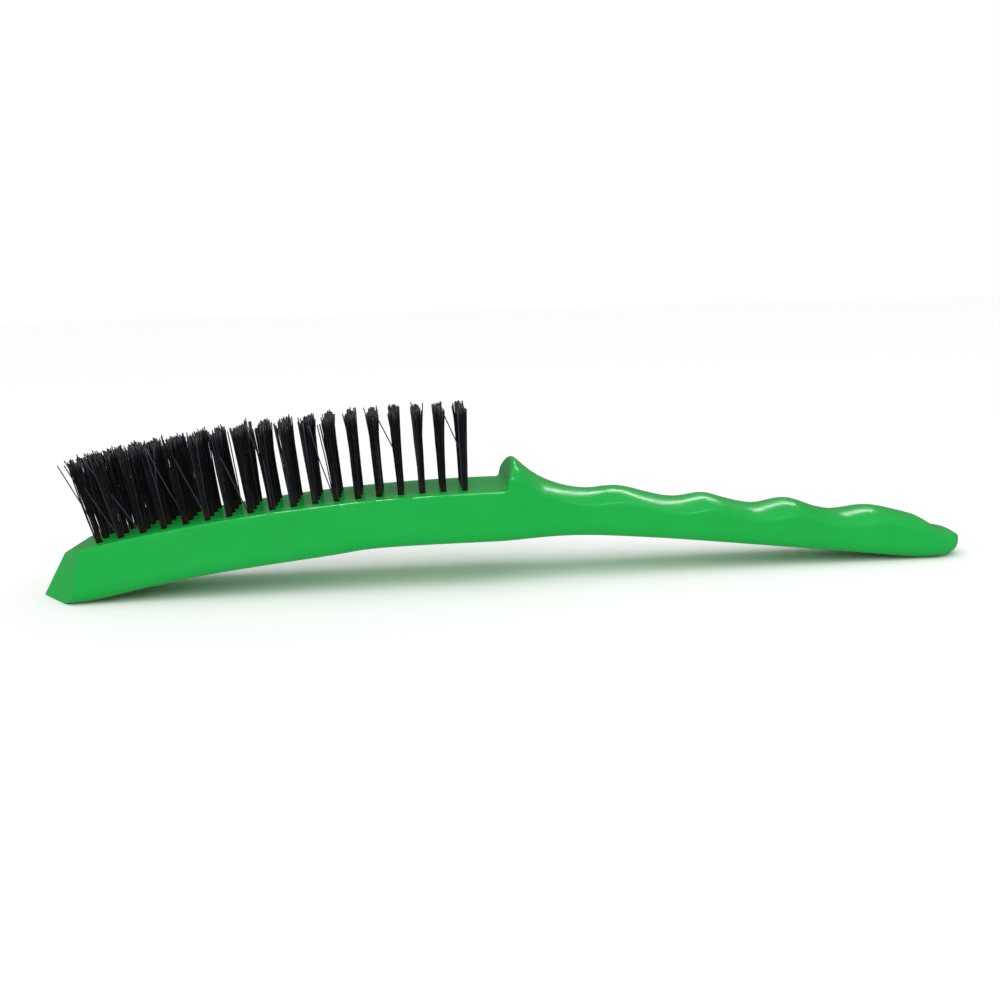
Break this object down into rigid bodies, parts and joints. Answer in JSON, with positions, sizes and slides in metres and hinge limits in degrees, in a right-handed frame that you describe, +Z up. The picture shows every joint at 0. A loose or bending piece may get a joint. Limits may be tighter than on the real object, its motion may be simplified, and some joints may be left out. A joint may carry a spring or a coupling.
{
  "type": "wire hand brush",
  "caption": "Long-handled wire brush: curved one-piece plastic block with rows of steel wire tufts, a thumb guard and a finger-grooved grip.",
  "frame": {"origin": "centre of the bounding box in plan, on the plane that the brush lies on, at Z = 0", "axes": "+X along the brush from the nose to the handle's end, +Y across it, +Z up on the wire side"},
  "size_m": [0.2898, 0.0314, 0.0532],
  "materials": {
    "body_plastic": "smooth injection-moulded green plastic, semi-gloss",
    "wire_steel": "dark oiled steel wire, faintly rusty where it enters the block",
    "anchor_steel": "plain drawn flat steel wire"
  },
  "bodies": {
    "root": {"brush_body": "body_plastic", "tuft_row_01": "wire_steel", "tuft_row_02": "wire_steel", "tuft_row_03": "wire_steel", "tuft_row_04": "wire_steel", "tuft_row_05": "wire_steel", "tuft_row_06": "wire_steel", "tuft_row_07": "wire_steel", "tuft_row_08": "wire_steel", "tuft_row_09": "wire_steel", "tuft_row_10": "wire_steel", "tuft_row_11": "wire_steel", "tuft_row_12": "wire_steel", "tuft_row_13": "wire_steel", "tuft_row_14": "wire_steel", "tuft_row_15": "wire_steel", "tuft_row_16": "wire_steel", "tuft_row_17": "wire_steel", "tuft_row_18": "wire_steel", "anchor_row_01": "anchor_steel", "anchor_row_02": "anchor_steel", "anchor_row_03": "anchor_steel", "anchor_row_04": "anchor_steel", "anchor_row_05": "anchor_steel", "anchor_row_06": "anchor_steel", "anchor_row_07": "anchor_steel", "anchor_row_08": "anchor_steel", "anchor_row_09": "anchor_steel", "anchor_row_10": "anchor_steel", "anchor_row_11": "anchor_steel", "anchor_row_12": "anchor_steel", "anchor_row_13": "anchor_steel", "anchor_row_14": "anchor_steel", "anchor_row_15": "anchor_steel", "anchor_row_16": "anchor_steel", "anchor_row_17": "anchor_steel", "anchor_row_18": "anchor_steel"}
  },
  "joints": []
}
